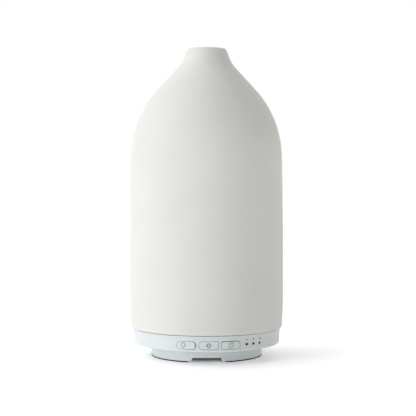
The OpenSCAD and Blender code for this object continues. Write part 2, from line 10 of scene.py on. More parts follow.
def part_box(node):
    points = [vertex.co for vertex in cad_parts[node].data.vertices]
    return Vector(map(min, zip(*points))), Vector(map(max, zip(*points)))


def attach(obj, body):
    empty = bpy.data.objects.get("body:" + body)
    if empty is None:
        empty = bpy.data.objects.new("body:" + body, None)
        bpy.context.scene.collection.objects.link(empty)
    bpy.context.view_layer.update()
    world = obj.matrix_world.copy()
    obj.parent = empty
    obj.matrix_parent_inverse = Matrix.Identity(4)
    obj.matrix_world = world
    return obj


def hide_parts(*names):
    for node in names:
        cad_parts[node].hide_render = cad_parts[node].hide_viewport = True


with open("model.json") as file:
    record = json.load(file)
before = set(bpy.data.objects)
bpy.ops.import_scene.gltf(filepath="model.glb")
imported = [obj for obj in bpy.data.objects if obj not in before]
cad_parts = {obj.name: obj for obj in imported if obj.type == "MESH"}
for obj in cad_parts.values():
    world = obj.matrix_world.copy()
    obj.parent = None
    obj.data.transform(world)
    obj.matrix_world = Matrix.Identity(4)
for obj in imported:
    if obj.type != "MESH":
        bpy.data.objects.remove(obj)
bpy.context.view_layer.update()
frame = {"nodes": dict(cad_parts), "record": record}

# Lengths in this script are millimetres, unless a comment says otherwise, and turn into metres
# where Blender takes them.
# The object stands at the origin with its keys towards -Y. An angle runs from -Y towards +X.
MM = 0.001


# ---- Camera ----

VIEW_DISTANCE = 632.0
VIEW_HEIGHT = 98.0
VIEW_TURN = -1.65       # degrees round the object, towards its left
VIEW_PITCH = -1.495     # degrees below level
VIEW_ASIDE = -0.07      # degrees, which sets the object a little left of centre
VIEW_LENS = 98.4


def make_camera():
    data = bpy.data.cameras.new("camera")
    data.lens = VIEW_LENS
    data.sensor_width = 36.0
    data.clip_start = 0.01
    data.clip_end = 50.0
    camera = bpy.data.objects.new("camera", data)
    turn = math.radians(VIEW_TURN)
    across = VIEW_DISTANCE * math.sin(turn)
    back = VIEW_DISTANCE * math.cos(turn)
    camera.location = Vector((across, -back, VIEW_HEIGHT)) * MM
    camera.rotation_euler = (
        math.radians(90 + VIEW_PITCH), 0, math.radians(VIEW_TURN + VIEW_ASIDE))
    bpy.context.scene.collection.objects.link(camera)
    bpy.context.scene.camera = camera


make_camera()


# ---- Mesh helpers ----

def box_mm(node):
    """The lowest and highest corner of a CAD node, in millimetres."""
    low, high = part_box(node)
    return Vector(low) / MM, Vector(high) / MM


def arc(cx, cy, radius, start, end, steps):
    """Points along an arc, with its angles in degrees."""
    turns = [math.radians(start + (end - start) * i / steps) for i in range(steps + 1)]
    return [(cx + radius * math.cos(a), cy + radius * math.sin(a)) for a in turns]


def place(radius, angle, z):
    """The point at a radius, an angle in degrees from -Y towards +X, and a height."""
    a = math.radians(angle)
    return (radius * math.sin(a), -radius * math.cos(a), z)


def piece(name, points, faces, body, slot, stands_for=(), crease=35):
    """Makes a smooth-shaded piece from millimetre points, riding a body."""
    mesh = bpy.data.meshes.new(name)
    mesh.from_pydata([Vector(p) * MM for p in points], [], faces)
    mesh.validate()
    shell = bmesh.new()
    shell.from_mesh(mesh)
    bmesh.ops.recalc_face_normals(shell, faces=shell.faces)
    shell.to_mesh(mesh)
    shell.free()
    mesh.shade_smooth()
    mesh.set_sharp_from_angle(angle=math.radians(crease))
    obj = bpy.data.objects.new(name, mesh)
    bpy.context.scene.collection.objects.link(obj)
    weighted = obj.modifiers.new("weighted_normals", "WEIGHTED_NORMAL")
    weighted.keep_sharp = True
    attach(obj, body)
    if stands_for:
        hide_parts(*stands_for)
    paint(obj, slot)
    return obj


def lathe(outline, segments):
    """Points and faces of a closed (radius, height) outline turned about Z."""
    rows = len(outline)
    points = [place(r, 360 * s / segments, z) for s in range(segments) for r, z in outline]
    faces = []
    for s in range(segments):
        here, there = s * rows, (s + 1) % segments * rows
        for k in range(rows):
            n = (k + 1) % rows
            faces.append((here + k, there + k, there + n, here + n))
    return points, faces


# ---- Materials ----

def new_material(name):
    made = bpy.data.materials.new(name)
    made.use_nodes = True
    nodes, links = made.node_tree.nodes, made.node_tree.links
    nodes.clear()
    shader = nodes.new("ShaderNodeBsdfPrincipled")
    out = nodes.new("ShaderNodeOutputMaterial")
    links.new(shader.outputs["BSDF"], out.inputs["Surface"])
    return made, nodes, links, shader


def noise_node(nodes, links, size_mm, detail=2.0, rough=0.5):
    """Noise with features of about size_mm, fixed to the object."""
    where = nodes.new("ShaderNodeTexCoord")
    grain = nodes.new("ShaderNodeTexNoise")
    grain.inputs["Scale"].default_value = 1 / (size_mm * MM)
    grain.inputs["Detail"].default_value = detail
    grain.inputs["Roughness"].default_value = rough
    links.new(where.outputs["Object"], grain.inputs["Vector"])
    return grain


def spread(nodes, links, source, low, high):
    """Maps a noise value to the range low to high."""
    ranged = nodes.new("ShaderNodeMapRange")
    ranged.inputs["From Min"].default_value = 0.3
    ranged.inputs["From Max"].default_value = 0.7
    ranged.inputs["To Min"].default_value = low
    ranged.inputs["To Max"].default_value = high
    links.new(source, ranged.inputs["Value"])
    return ranged.outputs["Result"]


def tinted(nodes, links, source, first, second):
    """A colour that wanders between two tints as a noise does."""
    ramp = nodes.new("ShaderNodeValToRGB")
    ramp.color_ramp.elements[0].position = 0.32
    ramp.color_ramp.elements[0].color = (*first, 1)
    ramp.color_ramp.elements[1].position = 0.68
    ramp.color_ramp.elements[1].color = (*second, 1)
    links.new(source, ramp.inputs["Fac"])
    return ramp.outputs["Color"]


def add_bump(nodes, links, shader, heights):
    """Chains bumps from (noise output, depth in mm) pairs into the shader."""
    below = None
    for source, depth in heights:
        bump = nodes.new("ShaderNodeBump")
        bump.inputs["Strength"].default_value = 1.0
        bump.inputs["Distance"].default_value = depth * MM
        links.new(source, bump.inputs["Height"])
        if below is not None:
            links.new(below, bump.inputs["Normal"])
        below = bump.outputs["Normal"]
    links.new(below, shader.inputs["Normal"])


def surface(name, tint, shift, patch, rough, grain, depth, **fixed):
    """A moulded surface: slight patches of colour, and a fine grain in its gloss and its height.
    The patch and grain are sizes of features, and fixed holds shader sockets."""
    made, nodes, links, shader = new_material(name)
    patches = noise_node(nodes, links, patch, 3.0)
    fine = noise_node(nodes, links, grain, 2.0)
    darker = tuple(c * (1 - shift) for c in tint)
    lighter = tuple(min(1.0, c * (1 + shift)) for c in tint)
    colour = tinted(nodes, links, patches.outputs["Fac"], darker, lighter)
    links.new(colour, shader.inputs["Base Color"])
    links.new(spread(nodes, links, fine.outputs["Fac"], *rough), shader.inputs["Roughness"])
    add_bump(nodes, links, shader, [(fine.outputs["Fac"], depth)])
    for socket, value in fixed.items():
        shader.inputs[socket.replace("_", " ")].default_value = value
    return made


def stoneware():
    """Matt unglazed ceramic: faint warm clouding, fine grain and a slow hand-finished unevenness."""
    made, nodes, links, shader = new_material("stoneware")
    clouds = noise_node(nodes, links, 24.0, 4.0, 0.55)
    grain = noise_node(nodes, links, 0.45, 3.0, 0.6)
    swell = noise_node(nodes, links, 7.0, 1.0)
    darker, lighter = (0.663, 0.668, 0.635), (0.687, 0.691, 0.659)
    colour = tinted(nodes, links, clouds.outputs["Fac"], darker, lighter)
    links.new(colour, shader.inputs["Base Color"])
    links.new(spread(nodes, links, grain.outputs["Fac"], 0.72, 0.9), shader.inputs["Roughness"])
    shader.inputs["Specular IOR Level"].default_value = 0.15
    add_bump(nodes, links, shader, [(swell.outputs["Fac"], 0.02), (grain.outputs["Fac"], 0.012)])
    return made


def brushed(name, tint, rough, grain=(0.6, 0.6, 0.06)):
    """Metal with a fine grain, whose size is given along each axis."""
    made, nodes, links, shader = new_material(name)
    where = nodes.new("ShaderNodeTexCoord")
    stretch = nodes.new("ShaderNodeMapping")
    stretch.inputs["Scale"].default_value = [1 / (g * MM) for g in grain]
    lines = nodes.new("ShaderNodeTexNoise")
    lines.inputs["Scale"].default_value = 1.0
    lines.inputs["Detail"].default_value = 3.0
    links.new(where.outputs["Object"], stretch.inputs["Vector"])
    links.new(stretch.outputs["Vector"], lines.inputs["Vector"])
    darker = tuple(c * 0.93 for c in tint)
    links.new(tinted(nodes, links, lines.outputs["Fac"], darker, tint), shader.inputs["Base Color"])
    links.new(spread(nodes, links, lines.outputs["Fac"], *rough), shader.inputs["Roughness"])
    shader.inputs["Metallic"].default_value = 1.0
    add_bump(nodes, links, shader, [(lines.outputs["Fac"], 0.003)])
    return made


TRANSLUCENT = {"Subsurface_Weight": 0.2, "Subsurface_Scale": 0.003, "Subsurface_Radius": (1, 1, 1)}
# A surface's numbers: tint, colour shift, patch size, range of roughness, grain size, grain depth
MATERIALS = {
    "ceramic": stoneware(),
    "white_plastic": surface("white_plastic", (0.636, 0.676, 0.679), 0.008, 14, (0.44, 0.54), 0.3, 0.003),
    "key_plastic": surface("key_plastic", (0.642, 0.684, 0.687), 0.008, 8, (0.38, 0.48), 0.3, 0.002),
    "inner_plastic": surface("inner_plastic", (0.66, 0.69, 0.69), 0.01, 12, (0.32, 0.42), 0.4, 0.003,
                             **TRANSLUCENT),
    "tank_plastic": surface("tank_plastic", (0.64, 0.69, 0.72), 0.01, 12, (0.22, 0.32), 0.4, 0.003,
                            **TRANSLUCENT),
    "rubber": surface("rubber", (0.014, 0.015, 0.016), 0.12, 3, (0.7, 0.9), 0.25, 0.01,
                      Specular_IOR_Level=0.2),
    "silicone": surface("silicone", (0.58, 0.17, 0.11), 0.06, 4, (0.45, 0.6), 0.3, 0.005),
    "steel": brushed("steel", (0.60, 0.61, 0.63), (0.22, 0.38)),
    "brass": brushed("brass", (0.70, 0.50, 0.24), (0.3, 0.45)),
    "disc_metal": brushed("disc_metal", (0.66, 0.63, 0.52), (0.2, 0.35)),
    "fan_plastic": surface("fan_plastic", (0.022, 0.022, 0.024), 0.1, 3, (0.35, 0.5), 0.2, 0.004),
    "duct_plastic": surface("duct_plastic", (0.05, 0.053, 0.06), 0.08, 4, (0.4, 0.55), 0.25, 0.005),
    "copper": brushed("copper", (0.70, 0.30, 0.13), (0.25, 0.4), (2.0, 2.0, 0.12)),
    "board": surface("board", (0.02, 0.13, 0.055), 0.15, 1.6, (0.3, 0.5), 0.5, 0.008),
    "capacitor": surface("capacitor", (0.02, 0.028, 0.06), 0.08, 3, (0.18, 0.28), 0.3, 0.002),
    "chip": surface("chip", (0.018, 0.018, 0.02), 0.1, 1, (0.55, 0.7), 0.12, 0.006),
    "connector": surface("connector", (0.70, 0.66, 0.50), 0.03, 3, (0.4, 0.5), 0.3, 0.003),
    "switch": surface("switch", (0.03, 0.03, 0.033), 0.1, 2, (0.4, 0.55), 0.2, 0.004),
    "plunger": surface("plunger", (0.62, 0.56, 0.42), 0.04, 2, (0.35, 0.5), 0.2, 0.003),
    "led": surface("led", (0.80, 0.76, 0.55), 0.03, 2, (0.08, 0.16), 0.4, 0.001,
                   Transmission_Weight=0.35, IOR=1.5),
    "lens": surface("lens", (0.004, 0.004, 0.005), 0.1, 0.6, (0.3, 0.4), 0.2, 0.001,
                    Specular_IOR_Level=0.25),
    "black_plastic": surface("black_plastic", (0.02, 0.02, 0.022), 0.1, 3, (0.4, 0.55), 0.25, 0.005),
    "pin_metal": brushed("pin_metal", (0.72, 0.71, 0.69), (0.12, 0.22), (0.4, 2.0, 0.4)),
    "wire": surface("wire", (0.02, 0.02, 0.022), 0.1, 2, (0.3, 0.42), 0.3, 0.002),
    "wire_red": surface("wire_red", (0.42, 0.02, 0.015), 0.08, 2, (0.3, 0.42), 0.3, 0.002),
    "print": surface("print", (0.20, 0.22, 0.225), 0.03, 1, (0.5, 0.62), 0.15, 0.001),
}


def paint(obj, key):
    """Gives an object one of the materials above."""
    obj.data.materials.clear()
    obj.data.materials.append(MATERIALS[key])


SLOTS = {part["node"]: part["material_slot"] for part in frame["record"]["subparts"]}
for node_name, node_object in frame["nodes"].items():
    paint(node_object, SLOTS[node_name])


# ---- Ceramic cover: one turned shell with a rolled foot and a soft, narrow mouth ----

COVER_WALL = 4.0
OUTLET_RADIUS = 7.2
BELLY_Z, SHOULDER_Z = 33.5, 53.5
# The radii of the curve's bends from the foot up, then its leans in degrees inwards: at the foot, and
# at the end of each bend above the belly
FOOT_BEND, BARREL_BEND, SHOULDER_BEND, NECK_BEND, LIP_BEND = 240.0, 2077.0, 56.1, 18.0, 13.8
FOOT_LEAN, BARREL_LEAN, CONE_LEAN, NECK_LEAN, LIP_LEAN = -4.2, 1.58, 42.4, 16.5, 29.4


def bend(start, radius, lean, to_lean, step=1.2):
    """Points that lean further in, or back out, along an arc. A point is (radius, height, lean)."""
    a0, a1 = math.radians(lean), math.radians(to_lean)
    count = max(3, math.ceil(abs(radius * (a1 - a0)) / step))
    points = []
    for i in range(1, count + 1):
        a = a0 + (a1 - a0) * i / count
        r = start[0] - radius * (math.cos(a0) - math.cos(a))
        z = start[1] + radius * (math.sin(a) - math.sin(a0))
        points.append((r, z, math.degrees(a)))
    return points


def straight(start, length, lean, step=1.2):
    """Points along a straight stretch at one lean."""
    count = math.ceil(length / step)
    a = math.radians(lean)
    along = [length * i / count for i in range(1, count + 1)]
    return [(start[0] - d * math.sin(a), start[1] + d * math.cos(a), lean) for d in along]


def cover_curve(max_radius, lip_z):
    """The outer curve from just over the foot to the lip, whose cone is as long as the height needs."""
    belly = (max_radius, BELLY_Z, 0)
    path = bend(belly, FOOT_BEND, 0, FOOT_LEAN)[::-1] + [belly]
    path += straight(path[-1], SHOULDER_Z - BELLY_Z, 0, 4)
    path += bend(path[-1], BARREL_BEND, 0, BARREL_LEAN, 4)
    path += bend(path[-1], SHOULDER_BEND, BARREL_LEAN, CONE_LEAN)

    def end_with(start):
        neck = bend(start, -NECK_BEND, CONE_LEAN, NECK_LEAN, 0.8)
        return neck + bend(neck[-1], LIP_BEND, NECK_LEAN, LIP_LEAN, 0.6)

    left_over = lip_z - end_with(path[-1])[-1][1]
    path += straight(path[-1], left_over / math.cos(math.radians(CONE_LEAN)), CONE_LEAN)
    return path + end_with(path[-1])


def make_ceramic_cover():
    low, high = box_mm("ceramic_cover")
    foot_z, top_z = low.z, high.z
    edge, lip_edge, mouth_edge = 0.6, 1.3, 1.0
    lean = math.radians(LIP_LEAN)
    curve = cover_curve(high.x, top_z - lip_edge * (1 - math.sin(lean)))
    outer = [(r, z) for r, z, slope in curve]
    inner = []
    for r, z, slope in curve:
        a = math.radians(slope)
        inner.append((r - COVER_WALL * math.cos(a), z - COVER_WALL * math.sin(a)))
    above = foot_z + edge + 0.1
    lip = outer[-1]
    outline = arc(outer[0][0] - edge, foot_z + edge, edge, -90, 0, 8)
    outline += [p for p in outer if p[1] > above]
    outline += arc(lip[0] - lip_edge * math.cos(lean), top_z - lip_edge, lip_edge, LIP_LEAN, 90, 9)
    outline += arc(OUTLET_RADIUS + mouth_edge, top_z - mouth_edge, mouth_edge, 90, 180, 8)
    outline += [(OUTLET_RADIUS, inner[-1][1] + 0.3)]
    outline += [p for p in inner[::-1] if p[1] > above]
    outline += arc(inner[0][0] + edge, foot_z + edge, edge, 180, 270, 8)
    points, faces = lathe(outline, 320)
    piece("ceramic_shell", points, faces, "cover", "ceramic", ["ceramic_cover"])


make_ceramic_cover()


# ---- Inner lid with its mist chimney ----

def make_inner_lid():
    low, high = box_mm("inner_cover")
    wall, edge, skirt_drop = 1.5, 0.4, 6.3
    seat_r, seat_thick = 30.6, 1.2
    skirt_r, seat = high.x, low.z + skirt_drop
    dome, dome_lift = 22.0, 2.0
    dome_x, dome_z = skirt_r - dome, seat + dome_lift
    bore, pipe_wall, flare = 4.6, 1.3, 8.0
    pipe = bore + pipe_wall
    flare_z = dome_z + dome + flare - 1
    outline = [(skirt_r - wall, low.z + edge)]
    outline += arc(skirt_r - wall + edge, low.z + edge, edge, 180, 270, 4)
    outline += arc(skirt_r - edge, low.z + edge, edge, 270, 360, 4)
    outline += arc(dome_x, dome_z, dome, 0, 80, 30)
    outline += arc(pipe + flare, flare_z, flare, 260, 180, 14)
    outline += arc(pipe - edge, high.z - edge, edge, 0, 90, 4)
    outline += arc(bore + edge, high.z - edge, edge, 90, 180, 4)
    outline += arc(bore + flare + wall, flare_z, flare + wall, 180, 260, 14)
    outline += arc(dome_x, dome_z, dome - wall, 80, 0, 24)
    outline += [(skirt_r - wall, seat + seat_thick), (seat_r, seat + seat_thick)]
    outline += [(seat_r, seat), (skirt_r - wall, seat)]
    points, faces = lathe(outline, 192)
    piece("inner_lid", points, faces, "inner_cover", "inner_plastic", ["inner_cover"])


make_inner_lid()


# ---- Outlines on the band: (across, up) in millimetres, wrapped round the base ----

BAND_MID_RADIUS = 40.55


def rounded(width, height, left, right, grow=0.0, steps=8, along=12, up=3):
    """A rectangle with its own corner radius at the left and the right, grown on every side.
    It always has the same number of points, so that rings of different sizes can be joined."""
    w, h = width / 2 + grow, height / 2 + grow
    rl, rr = max(left + grow, 0.01), max(right + grow, 0.01)
    corners = [
        (arc(w - rr, h - rr, rr, 0, 90, steps), along),
        (arc(-w + rl, h - rl, rl, 90, 180, steps), up),
        (arc(-w + rl, -h + rl, rl, 180, 270, steps), along),
        (arc(w - rr, -h + rr, rr, 270, 360, steps), up)]
    ring = []
    for i, (corner, count) in enumerate(corners):
        x0, y0 = corner[-1]
        x1, y1 = corners[(i + 1) % 4][0][0]
        ring += corner
        ring += [(x0 + (x1 - x0) * k / count, y0 + (y1 - y0) * k / count) for k in range(1, count)]
    return ring


def circle(radius, grow=0.0, steps=24):
    """A ring of points round the origin."""
    return arc(0, 0, radius + grow, 0, 360 - 360 / steps, steps - 1)


band_low, band_high = box_mm("base_housing")
BAND_LOW_Z = band_low.z
BAND_TOP_Z = 15.5
BAND_LOW_R, BAND_TOP_R, BAND_IN_R = 40.3, 40.8, 38.2
BAND_LOW_EDGE, BAND_TOP_EDGE = 1.0, 0.3
KEY_W, KEY_H, KEY_Z, KEY_PITCH = 10.6, 4.3, 10.6, 17.0
KEY_GAP, KEY_RECESS = 0.1, 0.16
# How much more a key leaves free at its left, right, top and bottom: no key is quite centred
KEY_INSET = [(0.0, 0.4, 0.04, 0.0), (0.0, 0.05, 0.0, 0.03), (0.04, 0.05, 0.26, 0.0)]
KEY_ROUND, KEY_SOFT = KEY_H / 2 - 0.05, 0.9
LENS_R, LENS_GAP = 0.7, 0.05
LIGHT_ANGLES = [30.0, 36.25, 42.5]
JACK_Z, JACK_HOLE_R = 11.4, 3.1
KEY_HOLE_EDGE, LENS_HOLE_EDGE, JACK_HOLE_EDGE = 0.12, 0.08, 0.2


def band_radius(z):
    """The band's face, which leans out a little from its lower edge to its top."""
    rise = BAND_TOP_Z - BAND_LOW_Z - BAND_LOW_EDGE
    return BAND_LOW_R + (BAND_TOP_R - BAND_LOW_R) * (z - BAND_LOW_Z - BAND_LOW_EDGE) / rise


def on_band(angle, across, z, depth=0.0):
    """A point on the band, across millimetres from an angle and depth below its face."""
    turn = angle + math.degrees(across / BAND_MID_RADIUS)
    return place(band_radius(z) - depth, turn, z)


def join(parts):
    """Several (points, faces) pairs as one."""
    points, faces = [], []
    for some_points, some_faces in parts:
        start = len(points)
        points += some_points
        faces += [tuple(start + i for i in face) for face in some_faces]
    return points, faces


def rolled(edge, steps=5):
    """How far out and how deep a rounded edge of a hole lies, from the face to the wall."""
    turns = [math.pi / 2 * i / steps for i in range(steps + 1)]
    return [(edge * (1 - math.sin(a)), edge * (1 - math.cos(a))) for a in turns]


# ---- Base housing: the band with its holes, and the drum and deck inside the cover ----

def key_shape(i, grow=0.0, inset=(0.0, 0.0, 0.0, 0.0)):
    """The outline of a key or of its hole; the inset takes some off its left, right, top and bottom."""
    left, right, top, bottom = inset
    soft_left = KEY_SOFT if i == 2 else KEY_ROUND
    soft_right = KEY_SOFT if i == 1 else KEY_ROUND
    short = (top + bottom) / 2
    ring = rounded(KEY_W - left - right, KEY_H - 2 * short, soft_left - short, soft_right - short, grow)
    return [(x + (left - right) / 2, y + (bottom - top) / 2) for x, y in ring]


def band_holes():
    """Each hole: its angle, its height, its outline for a given growth, and its edge radius."""
    holes = []
    for i in range(3):
        angle = (i - 1) * KEY_PITCH
        holes.append((angle, KEY_Z, lambda grow, i=i: key_shape(i, KEY_GAP + grow), KEY_HOLE_EDGE))
    for angle in LIGHT_ANGLES:
        holes.append((angle, KEY_Z, lambda grow: circle(LENS_R + LENS_GAP, grow, 24), LENS_HOLE_EDGE))
    holes.append((180, JACK_Z, lambda grow: circle(JACK_HOLE_R, grow, 48), JACK_HOLE_EDGE))
    return holes


def inside(x, y, ring):
    """True if a point is within a closed ring."""
    hit = False
    for i, (x0, y0) in enumerate(ring):
        x1, y1 = ring[i - 1]
        if (y0 > y) != (y1 > y) and x < (x1 - x0) * (y - y0) / (y1 - y0) + x0:
            hit = not hit
    return hit


def make_band():
    """The band as one closed form: its flat sheet with the holes cut in is wrapped round, then gets an
    inner side, walls in the holes and rounded rims."""
    columns, levels, seam, clear = 300, 9, 90.0, 0.3
    low_z, top_z = BAND_LOW_Z + BAND_LOW_EDGE, BAND_TOP_Z - BAND_TOP_EDGE
    length = 2 * math.pi * BAND_MID_RADIUS
    flat, edges, rings, keep_out = [], [], [], []

    def along(angle):
        return math.radians((angle - seam) % 360) * BAND_MID_RADIUS

    for angle, z, shape, edge in band_holes():
        middle = along(angle)
        ring = [(middle + x, z + y) for x, y in shape(edge)]
        start = len(flat)
        flat += ring
        edges += [(start + k, start + (k + 1) % len(ring)) for k in range(len(ring))]
        rings.append((angle, z, shape, edge, start, len(ring)))
        keep_out.append([(middle + x, z + y) for x, y in shape(edge + clear)])
    grid = {}
    for row in range(levels + 1):
        z = low_z + (top_z - low_z) * row / levels
        for column in range(columns + 1):
            s = length * column / columns
            rim = row in (0, levels) or column in (0, columns)
            if rim or not any(inside(s, z, ring) for ring in keep_out):
                grid[row, column] = len(flat)
                flat.append((s, z))
    made = delaunay_2d_cdt([Vector(p) for p in flat], edges, [], 0, 1e-6)
    verts, tris, origin = made[0], made[2], made[3]
    new_of = {old: new for new, olds in enumerate(origin) for old in olds}
    seam_twin = {new_of[grid[row, columns]]: new_of[grid[row, 0]] for row in range(levels + 1)}
    on_ring = {}
    for angle, z, shape, edge, start, count in rings:
        bare = shape(0.0)
        for k in range(count):
            on_ring[new_of[start + k]] = (along(angle) + bare[k][0], z + bare[k][1])

    points, wrapped, inner_of = [], {}, {}
    for i, v in enumerate(verts):
        if i not in seam_twin:
            wrapped[i] = len(points)
            inner_of[wrapped[i]] = len(points) + 1
            points.append(on_band(seam, v.x, v.y))
            across, up = on_ring.get(i, (v.x, v.y))
            points.append(place(BAND_IN_R, seam + math.degrees(across / BAND_MID_RADIUS), up))
    for i, twin in seam_twin.items():
        wrapped[i] = wrapped[twin]

    hole_rings = [[tuple(flat[start + k]) for k in range(count)] for *_, start, count in rings]
    faces = []
    for tri in tris:
        cx = sum(verts[i].x for i in tri) / 3
        cz = sum(verts[i].y for i in tri) / 3
        if any(inside(cx, cz, ring) for ring in hole_rings):
            continue
        outer = [wrapped[i] for i in tri]
        faces.append(tuple(outer))
        faces.append(tuple(inner_of[i] for i in reversed(outer)))

    for angle, z, shape, edge, start, count in rings:
        previous = [wrapped[new_of[start + k]] for k in range(count)]
        last = [inner_of[i] for i in previous]
        loops = [previous]
        for grow, depth in rolled(edge)[1:]:
            loops.append(list(range(len(points), len(points) + count)))
            points += [on_band(angle, x, z + y, depth) for x, y in shape(grow)]
        loops.append(last)
        for above, below in zip(loops, loops[1:]):
            for k in range(count):
                n = (k + 1) % count
                faces.append((above[k], above[n], below[n], below[k]))

    def rim_row(row):
        return [wrapped[new_of[grid[row, c]]] for c in range(columns)]

    def add_strip(outline, outer_row, inner_row, flip):
        rows = [outer_row]
        for r, z in outline:
            rows.append(list(range(len(points), len(points) + columns)))
            points.extend(place(r, seam + 360 * c / columns, z) for c in range(columns))
        rows.append(inner_row)
        for above, below in zip(rows, rows[1:]):
            for c in range(columns):
                n = (c + 1) % columns
                quad = (above[c], above[n], below[n], below[c])
                faces.append(tuple(reversed(quad)) if flip else quad)

    low_row, top_row = rim_row(0), rim_row(levels)
    low_edge = arc(BAND_LOW_R - BAND_LOW_EDGE, low_z, BAND_LOW_EDGE, 0, -90, 8)[1:]
    top_edge = arc(BAND_TOP_R - BAND_TOP_EDGE, top_z, BAND_TOP_EDGE, 0, 90, 5)[1:]
    low_inner = [inner_of[i] for i in low_row]
    top_inner = [inner_of[i] for i in top_row]
    add_strip(low_edge + [(BAND_IN_R, BAND_LOW_Z)], low_row, low_inner, True)
    add_strip(top_edge + [(BAND_IN_R, BAND_TOP_Z)], top_row, top_inner, False)
    return points, faces


def cut(points, faces, cutters):
    """Points and faces with closed shapes taken out of them."""
    def lump(name, some_points, some_faces):
        mesh = bpy.data.meshes.new(name)
        mesh.from_pydata([Vector(p) for p in some_points], [], some_faces)
        obj = bpy.data.objects.new(name, mesh)
        bpy.context.scene.collection.objects.link(obj)
        return obj

    main, tool = lump("main", points, faces), lump("tool", *join(cutters))
    difference = main.modifiers.new("cut", "BOOLEAN")
    difference.operation = "DIFFERENCE"
    difference.solver = "EXACT"
    difference.object = tool
    done = main.evaluated_get(bpy.context.evaluated_depsgraph_get()).to_mesh()
    new_points = [tuple(v.co) for v in done.vertices]
    new_faces = [tuple(p.vertices) for p in done.polygons]
    for obj in (main, tool):
        mesh = obj.data
        bpy.data.objects.remove(obj)
        bpy.data.meshes.remove(mesh)
    return new_points, new_faces


def rod(x, y, radius, low_z, high_z, sides=48):
    """An upright closed cylinder."""
    ring = circle(radius, 0, sides)
    points = [(x + a, y + b, z) for z in (low_z, high_z) for a, b in ring]
    faces = [tuple(range(sides))[::-1], tuple(range(sides, 2 * sides))]
    for k in range(sides):
        n = (k + 1) % sides
        faces.append((k, n, sides + n, sides + k))
    return points, faces


CASE_SCREW_R, CASE_SCREW_ANGLES = 33.0, (-52, 52, -128, 128)


def make_housing():
    drum_r, skin, deck_z, opening = 36.8, 2.0, band_high.z, 17.5
    edge, fillet, rim = 0.8, 0.4, 0.3
    pilot_r, pilot_depth = 1.05, 8.0
    ledge_z = BAND_TOP_Z - skin
    outline = [(BAND_IN_R, BAND_TOP_Z), (drum_r + fillet, BAND_TOP_Z)]
    outline += arc(drum_r + fillet, BAND_TOP_Z + fillet, fillet, 270, 180, 4)
    outline += arc(drum_r - edge, deck_z - edge, edge, 0, 90, 8)
    outline += arc(opening + rim, deck_z - rim, rim, 90, 180, 4)
    outline += [(opening, deck_z - skin), (drum_r - skin, deck_z - skin)]
    outline += [(drum_r - skin, ledge_z), (BAND_IN_R, ledge_z)]
    deck = lathe(outline, 240)
    # Holes for the tank's screws, the lamps and the air duct: angle, distance from the axis, radius
    spots = [(angle, 26.5, 1.2) for angle in (0, 120, 240)]
    spots += [(angle, 22, 2.7) for angle in (-45, 45)]
    spots += [(180, 23.6, 5.4)]
    holes = []
    for angle, radius, size in spots:
        x, y, _ = place(radius, angle, 0)
        holes.append(rod(x, y, size, deck_z - skin - 1, deck_z + 1))
    deck = cut(*deck, holes)
    # Bosses for the case's and the board's screws: angle, distance from the axis, radius, lower end
    studs = [(angle, CASE_SCREW_R, 2.6, 8.7) for angle in CASE_SCREW_ANGLES]
    studs += [(angle, 30.6, 2.4, 14.9) for angle in (-30, 30, -76, 76)]
    bosses = []
    for angle, radius, size, low_z in studs:
        x, y, _ = place(radius, angle, 0)
        pilot = rod(x, y, pilot_r, low_z - 1, low_z + pilot_depth, 24)
        bosses.append(cut(*rod(x, y, size, low_z, deck_z - skin), [pilot]))
    points, faces = join([make_band(), deck] + bosses)
    piece("base_shell", points, faces, "base", "white_plastic", ["base_housing"], 40)


make_housing()


# ---- Bottom cover: a plate with air slots, and a foot ring with three notches ----

FOOT_TURN = -1.5
NOTCH_ANGLES = [FOOT_TURN + turn for turn in (0, 120, 240)]
FAN_Y = 11.5
SHARP_ANGLE = 40        # degrees, from which an edge is rounded off


def turned(solid, angle):
    """A solid turned about the object's axis."""
    points, faces = solid
    c, s = math.cos(math.radians(angle)), math.sin(math.radians(angle))
    return [(x * c - y * s, x * s + y * c, z) for x, y, z in points], faces


def slot_solid(x, y, width, length, z0, z1, steps=10):
    """An upright slot with round ends, long in Y."""
    r, straight_half = width / 2, length / 2 - width / 2
    ring = arc(x, y + straight_half, r, 0, 180, steps)
    ring += arc(x, y - straight_half, r, 180, 360, steps)
    count = len(ring)
    faces = [tuple(range(count))[::-1], tuple(range(count, 2 * count))]
    faces += [(k, (k + 1) % count, count + (k + 1) % count, count + k) for k in range(count)]
    return [(a, b, z) for z in (z0, z1) for a, b in ring], faces


def notch_solid(half, y0, y1, foot_z, top_z, corner=1.7, steps=10):
    """A cutter, long in Y, for a notch whose two lower corners are rounded off."""
    right = [(half + corner, foot_z - 1)]
    right += arc(half + corner, foot_z + corner, corner, 268, 180, steps)
    right += [(half, top_z)]
    outline = right + [(-x, z) for x, z in reversed(right)]
    count = len(outline)
    points = [(x, y, z) for y in (y0, y1) for x, z in outline]
    faces = [tuple(range(count)), tuple(range(count, 2 * count))[::-1]]
    faces += [(k, count + k, count + (k + 1) % count, (k + 1) % count) for k in range(count)]
    return points, faces


def round_edges(obj, width):
    """Rounds an object's sharp edges by width, in millimetres."""
    bevel = obj.modifiers.new("edges", "BEVEL")
    bevel.width = width * MM
    bevel.segments = 3
    bevel.limit_method = "ANGLE"
    bevel.angle_limit = math.radians(SHARP_ANGLE)


